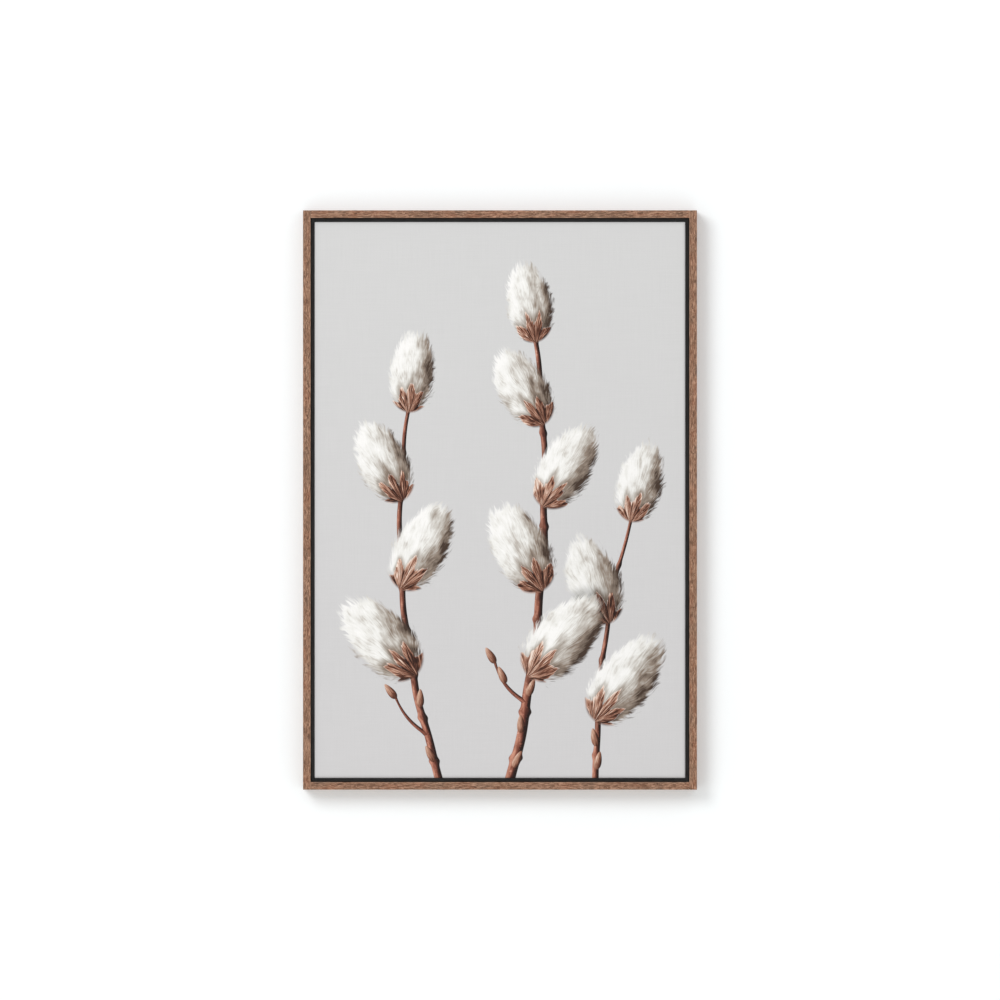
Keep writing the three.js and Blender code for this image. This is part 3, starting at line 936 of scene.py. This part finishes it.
def makeCanvas():
    # front: a grid over the picture; y sinks by hollow (1 - a^4)(1 - b^4) and ripples near the edge as
    # sin(x) exp(-distance). Then rings of the same outline run over the edge, as edgeStations gives them
    inset, depth, travel = edgeStations()
    first = inset[0]
    axes = []
    for half in (halfWidth - first, halfHeight - first):
        rim = np.array(cloth["rimCells"]) / half
        count = int(round(2 * half / cloth["cell"]))
        inner = np.linspace(-1 + 2 * rim[1], 1 - 2 * rim[1], count)
        axes.append(np.concatenate(([-1], -1 + rim, inner, 1 - rim[::-1], [1])))
    a, b = np.meshgrid(*axes)
    rows, columns = a.shape
    x = a * (halfWidth - first)
    z = b * (halfHeight - first)
    fromSide = (1 - abs(a)) * halfWidth
    fromEnd = (1 - abs(b)) * halfHeight
    wave = fullTurn / cloth["rippleLength"]
    fade = cloth["rippleReach"]
    pull = np.sin(z * wave) * np.exp(-fromSide / fade) + np.sin(x * wave + 1) * np.exp(-fromEnd / fade)
    rimFree = np.clip(np.minimum(fromSide, fromEnd) / cloth["rimFree"], 0, 1)
    y = clothLow.y + cloth["hollow"] * (1 - a**4) * (1 - b**4) + cloth["ripple"] * (pull + 1) * rimFree
    front = np.stack((x, y, z + middleZ), axis=-1).reshape(-1, 3)

    index = np.arange(rows * columns).reshape(rows, columns)
    loop = np.concatenate((index[0, :-1], index[:-1, -1], index[-1, :0:-1], index[:0:-1, 0]))
    sideOf = np.repeat((0, 1, 2, 3), (columns - 1, rows - 1, columns - 1, rows - 1))
    edgeA = a.reshape(-1)[loop]
    edgeB = b.reshape(-1)[loop]
    corner = np.where((abs(edgeA) == 1) & (abs(edgeB) == 1), cloth["cornerPull"], 0)
    ringX = edgeA * (halfWidth - inset[1:, None] - corner)
    ringZ = edgeB * (halfHeight - inset[1:, None] - corner)
    ringY = clothLow.y + depth[1:, None] + 0 * ringX
    rings = np.stack((ringX, ringY, ringZ + middleZ), axis=-1).reshape(-1, 3)
    points = np.concatenate((front, rings))

    count = len(loop)
    ringIndex = np.vstack((loop, rows * columns + np.arange(rings.shape[0]).reshape(-1, count)))
    ahead = np.roll(ringIndex, -1, axis=1)
    ringFaces = np.stack((ringIndex[:-1], ringIndex[1:], ahead[1:], ahead[:-1]), axis=-1)
    frontFaces = gridFaces(rows, columns)
    faces = np.concatenate((frontFaces, ringFaces.reshape(-1, 4)))

    piece = makePiece("canvas_print", points, faces, [printedFinish(), reverseFinish()])
    flat = points[faces][..., [0, 2]] - (0, middleZ)  # the cloth before it was folded
    nearer, further = np.repeat(travel[:-1], count), np.repeat(travel[1:], count)
    outward = np.stack((nearer, further, further, nearer), axis=-1)
    ringSide = np.tile(sideOf, len(inset) - 1)
    sides = ((1, -1, halfHeight), (0, 1, halfWidth), (1, 1, halfHeight), (0, -1, halfWidth))
    for side, (axis, sign, half) in enumerate(sides):
        here = np.flatnonzero(ringSide == side)
        flat[len(frontFaces) + here, :, axis] = sign * (half - first + outward[here])
    layer = piece.data.uv_layers.new(name="cloth")
    layer.data.foreach_set("uv", flat.astype(np.float32).ravel())

    solid = piece.modifiers.new("thickness", "SOLIDIFY")
    solid.thickness = cloth["thickness"]
    solid.offset = -1
    solid.material_offset = 1
    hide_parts("canvas")


makeCanvas()


zinc = {"color": (196, 198, 202), "dull": (150, 152, 156), "speck": (96, 84, 70), "roughness": (0.26, 0.46)}
brass = {"color": (205, 170, 104), "dull": (156, 122, 72), "speck": (96, 84, 70), "roughness": (0.24, 0.44)}
platingBump = 0.03 * mm


def platedFinish(name, metal, size):
    # thin plating: bright metal dulled in blotches, fine scratches that catch the light, and specks
    material, tree = startMaterial(name, {"Metallic": 1.0})
    marks = useGroup(handling, vector=objectPlace(tree), size=size)
    color = layered(
        metal["color"], metal,
        (step(marks["blotches"], 0.38, 0.70), "dull"),
        (times(marks["dust"], 0.5), "speck"),
    )
    roughness = step(marks["blotches"], 0.3, 0.7, *metal["roughness"])
    height = minus(marks["blotches"], times(marks["scratches"], 0.5))
    return finishMaterial(material, color, roughness, height, platingBump)


blackRubber = {
    "color": (30, 30, 30),
    "worn": (52, 51, 50),
    "dust": (130, 126, 120),
    "pebbles": 1600.0,  # to the metre
    "roughness": (0.72, 0.9),
    "bump": 0.05 * mm,
    "gloss": {"Specular IOR Level": 0.35},
}


def rubberFinish():
    # matt black rubber with a pebbled face and grey dust in its hollows
    material, tree = startMaterial("rubber", blackRubber["gloss"])
    place = objectPlace(tree)
    marks = useGroup(handling, vector=place, size=4 * mm)
    scale = blackRubber["pebbles"]
    pebbles = add(tree, "TexVoronoi", {"Vector": place, "Scale": scale}).outputs["Distance"]
    color = layered(
        blackRubber["color"], blackRubber,
        (step(marks["blotches"], 0.35, 0.75), "worn"),
        (times(marks["dust"], 0.5), "dust"),
    )
    roughness = step(marks["blotches"], 0.3, 0.7, *blackRubber["roughness"])
    return finishMaterial(material, color, roughness, pebbles, blackRubber["bump"])


zincPlate = platedFinish("zinc plate", zinc, 2.5 * mm)
brassPlate = platedFinish("brass plate", brass, 5 * mm)


def closePoles(mesh):
    # points that lie on one another become one point, and then every face is turned outwards
    shape = bmesh.new()
    shape.from_mesh(mesh)
    bmesh.ops.remove_doubles(shape, verts=shape.verts, dist=1e-7)
    bmesh.ops.recalc_face_normals(shape, faces=shape.faces)
    shape.to_mesh(mesh)
    shape.free()


def makeTurned(name, nodeName, profile, sides, material, recess=None):
    # a profile of (radius, depth) carried round the middle of the node that the piece stands for; depth
    # counts forwards from the node's back
    low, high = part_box(nodeName)
    radius, depth = np.array(profile).T[:, :, None]
    angle = np.linspace(0, fullTurn, sides, endpoint=False)
    x = radius * np.cos(angle)
    z = radius * np.sin(angle)
    y = high.y - depth + 0 * x
    if recess:
        y = y - recess(x, z, depth)
    points = np.stack((x + (low.x + high.x) / 2, y, z + (low.z + high.z) / 2), axis=-1).reshape(-1, 3)
    piece = makePiece(name, points, gridFaces(len(profile), sides, closed=True), [material])
    closePoles(piece.data)
    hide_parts(nodeName)


screw = {
    "head": 3.7 * mm,
    "headHeight": 2.6 * mm,
    "headTop": 0.4 * mm,  # as deep as the points that the cross pushes in
    "shank": 1.8 * mm,
    "length": 25 * mm,
    "crossHalf": 2.2 * mm,
    "crossWidth": 0.95 * mm,
    "crossDepth": 1.3 * mm,
    "sides": 64,
}


def crossRecess(x, z, depth):
    # depth of the driver's cross: full inside either arm, shallower towards the arms' ends
    along = np.maximum(abs(x), abs(z))
    across = np.minimum(abs(x), abs(z))
    wall = np.clip((screw["crossWidth"] / 2 - across) / (0.12 * mm) + 0.5, 0, 1)
    end = np.clip((screw["crossHalf"] - along) / (0.5 * mm), 0, 1)
    return screw["crossDepth"] * wall * end * (depth < screw["headTop"])


def screwProfile():
    # flat top with a small rounded rim, cone, shank and point
    top = [(screw["head"] * share, 0.0) for share in np.linspace(0, 0.93, 22)]
    rim = [(screw["head"] * 0.97, 0.03 * mm), (screw["head"], 0.16 * mm), (screw["head"], 0.42 * mm)]
    shank = screw["shank"]
    tip = screw["length"] - 0.1 * mm
    rest = [(shank, screw["headHeight"]), (shank, screw["length"] - 5 * mm), (0.2 * mm, tip), (0.0, tip)]
    return top + rim + rest


screwNames = sorted(name for name in nodes if name.startswith("ledge_screw_"))
for name in screwNames:
    makeTurned(name.replace("ledge_", "zinc_"), name, screwProfile(), screw["sides"],
               zincPlate, crossRecess)
print("screws:", len(screwNames))

pin = {"head": 2.4 * mm, "headHeight": 0.9 * mm, "shank": 0.9 * mm, "length": 10 * mm, "sides": 40}


def pinProfile():
    # domed head, shank and point
    head, height, shank = pin["head"], pin["headHeight"], pin["shank"]
    quarter = np.linspace(0, math.pi / 2, 8)
    dome = [(head * math.sin(t), height * 0.8 * (1 - math.cos(t))) for t in quarter]
    rest = [(head * 0.97, height), (shank, height), (shank, pin["length"] - 2 * mm), (0.0, pin["length"])]
    return dome + rest


for side in ("left", "right"):
    makeTurned("hanger_pin_" + side, "hanger_nail_" + side, pinProfile(), pin["sides"],
               brassPlate)

bumper = {"radius": 6 * mm, "edge": 0.9 * mm, "foot": 0.1 * mm, "sides": 56}


def bumperProfile(thick):
    # flat face, a quarter turn over its edge, and a slightly smaller foot
    radius, edge, foot = bumper["radius"], bumper["edge"], bumper["foot"]
    flatEnd = radius - edge
    face = [(flatEnd * share, 0.0) for share in (0.0, 0.5, 0.9)]
    quarter = np.linspace(0, math.pi / 2, 7)
    rounding = [(flatEnd + edge * math.sin(t), edge * (1 - math.cos(t))) for t in quarter]
    return face + rounding + [(radius, thick - foot), (radius - foot, thick), (0.0, thick)]


bumperLow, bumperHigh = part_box("bumper_left")
rubber = rubberFinish()
for side in ("left", "right"):
    makeTurned("rubber_bumper_" + side, "bumper_" + side, bumperProfile(bumperHigh.y - bumperLow.y),
               bumper["sides"], rubber)

plate = {"bevel": 0.18 * mm, "bevelSteps": 2, "flatAngle": math.radians(2)}  # flatter edges are joined


def makeHangerPlate():
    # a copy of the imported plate, its loose triangles joined, with its punched edges slightly rounded
    mesh = nodes["hanger_plate"].data.copy()
    mesh.name = "sawtooth_plate"
    shape = bmesh.new()
    shape.from_mesh(mesh)
    bmesh.ops.remove_doubles(shape, verts=shape.verts, dist=1e-6)
    bmesh.ops.dissolve_limit(shape, angle_limit=plate["flatAngle"], verts=shape.verts, edges=shape.edges)
    shape.to_mesh(mesh)
    shape.free()
    mesh.materials.clear()
    mesh.materials.append(brassPlate)
    piece = linked("sawtooth_plate", mesh)
    rounding = piece.modifiers.new("rounding", "BEVEL")
    rounding.width = plate["bevel"]
    rounding.segments = plate["bevelSteps"]
    rounding.limit_method = "ANGLE"
    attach(piece, "root")
    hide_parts("hanger_plate")


makeHangerPlate()
print("hanger and bumpers")

staple = {
    "crown": 10.5 * mm,
    "wire": (1.15 * mm, 0.45 * mm),  # breadth and thickness
    "bend": 0.6 * mm,
    "inset": 20.8 * mm,  # from the picture's edge
    "spacing": 62 * mm,
    "endClear": 48 * mm,
    "tilt": 0.09,
    "drift": 0.6 * mm,  # off its even place
    "legs": 2.2 * mm,
    "chamfer": 0.3,
}


def stapleRow(half):
    # even places along an edge, kept off the corners
    end = half - staple["endClear"]
    return np.linspace(-end, end, int(2 * end // staple["spacing"]) + 1)


def makeStaples():
    # one wire section carried along leg, bend, crown, bend, leg, shrinking to a point beyond either end,
    # then set down at each place by a turn
    breadth, thick = staple["wire"]
    half, bend, legs = staple["crown"] / 2, staple["bend"], staple["legs"]
    quarter = np.linspace(0, math.pi / 2, 4)
    curveX = half - bend * (1 - np.cos(quarter))
    curveY = bend * (np.sin(quarter) - 1)
    pathX = np.concatenate(([-half], -curveX, curveX[::-1], [half]))
    pathY = np.concatenate(([-legs], curveY, curveY[::-1], [-legs]))
    tangent = np.stack((np.gradient(pathX), np.gradient(pathY)), axis=-1)
    tangent /= np.linalg.norm(tangent, axis=1)[:, None]
    normal = np.stack((-tangent[:, 1], tangent[:, 0]), axis=-1)
    chamfer = staple["chamfer"]
    section = np.array([(-1, chamfer), (-chamfer * 2, 1), (chamfer * 2, 1), (1, chamfer), (1, -1), (-1, -1)])
    pathX, pathY, normalX, normalY = (
        np.pad(values, 1, mode="edge")[:, None] for values in (pathX, pathY, normal[:, 0], normal[:, 1])
    )
    size = np.ones_like(pathX)
    size[[0, -1]] = 0
    lift = (size * section[:, 1] - 1) * thick / 2
    localX = pathX + normalX * lift
    localY = pathY + normalY * lift
    localZ = size * section[:, 0] * breadth / 2
    faces = gridFaces(len(pathX), len(section), closed=True)
    places = []
    for sign in (-1, 1):
        for z in stapleRow(halfHeight):
            places.append((sign * (halfWidth - staple["inset"]), z, math.pi / 2))
        for x in stapleRow(halfWidth):
            places.append((x, sign * (halfHeight - staple["inset"]), 0.0))
    places = np.array(places)
    drawn = np.random.default_rng(41)
    places[:, 2] += drawn.normal(0, staple["tilt"], len(places))
    places[:, :2] += drawn.normal(0, staple["drift"], (len(places), 2))
    cosine, sine = np.cos(places[:, 2]), np.sin(places[:, 2])
    turned = (cosine[:, None, None], sine[:, None, None])
    x = places[:, 0, None, None] + turned[0] * localX - turned[1] * localZ
    z = places[:, 1, None, None] + turned[1] * localX + turned[0] * localZ + middleZ
    y = clothHigh.y + thick + localY + 0 * x
    points = np.stack((x, y, z), axis=-1).reshape(-1, 3)
    starts = localX.size * np.arange(len(places))
    allFaces = (faces[None] + starts[:, None, None]).reshape(-1, 4)
    piece = makePiece("flap_staples", points, allFaces, [zincPlate], smooth=False)
    closePoles(piece.data)
    print("staples:", len(places))


makeStaples()


def makeStagePlane(name, middle, upwards, material):
    # a square round middle, with sides along X and along upwards
    a, b = np.array(((-1, 1, 1, -1), (-1, -1, 1, 1)))[:, :, None] * stage["size"] / 2
    points = np.array(middle) + a * (1, 0, 0) + b * upwards
    mesh = bpy.data.meshes.new(name)
    mesh.from_pydata(points, [], [(0, 1, 2, 3)])
    mesh.materials.append(material)
    plane = linked(name, mesh)
    return plane


def makeStage():
    # a white wall that is only there from the front, so that views from behind stay open, and a pale floor
    material, tree = startMaterial("white wall", {
        "Base Color": stage["wallWhite"], "Roughness": 0.9, "Specular IOR Level": 0.1,
        "Emission Color": (1, 1, 1, 1), "Emission Strength": stage["wallGlow"]})
    mix = add(tree, "MixShader", {
        0: add(tree, "NewGeometry").outputs["Backfacing"],
        1: tree.nodes["Principled BSDF"].outputs[0],
        2: add(tree, "BsdfTransparent").outputs[0]})
    plug(tree.nodes["Material Output"].inputs["Surface"], mix.outputs[0])
    wall = makeStagePlane("wall", (0, stage["wallGap"], middleZ), (0, 0, 1), material)

    material, tree = startMaterial("pale floor", {})
    dust = noise(objectPlace(tree), 3.0, 3.0)
    finishMaterial(material, blend(dust, *stage["floorTones"]), 0.8, dust, 0.2 * mm)
    makeStagePlane("floor", (0, 0, middleZ - stage["floorDrop"]), (0, 1, 0), material)
    wall.visible_shadow = False
    wall.visible_diffuse = False
    wall.visible_glossy = False


makeCamera()
makeWorld()
for name in ("key", "back"):
    makeAreaLight(name, **light[name])
makeStage()
print("camera, light and stage")
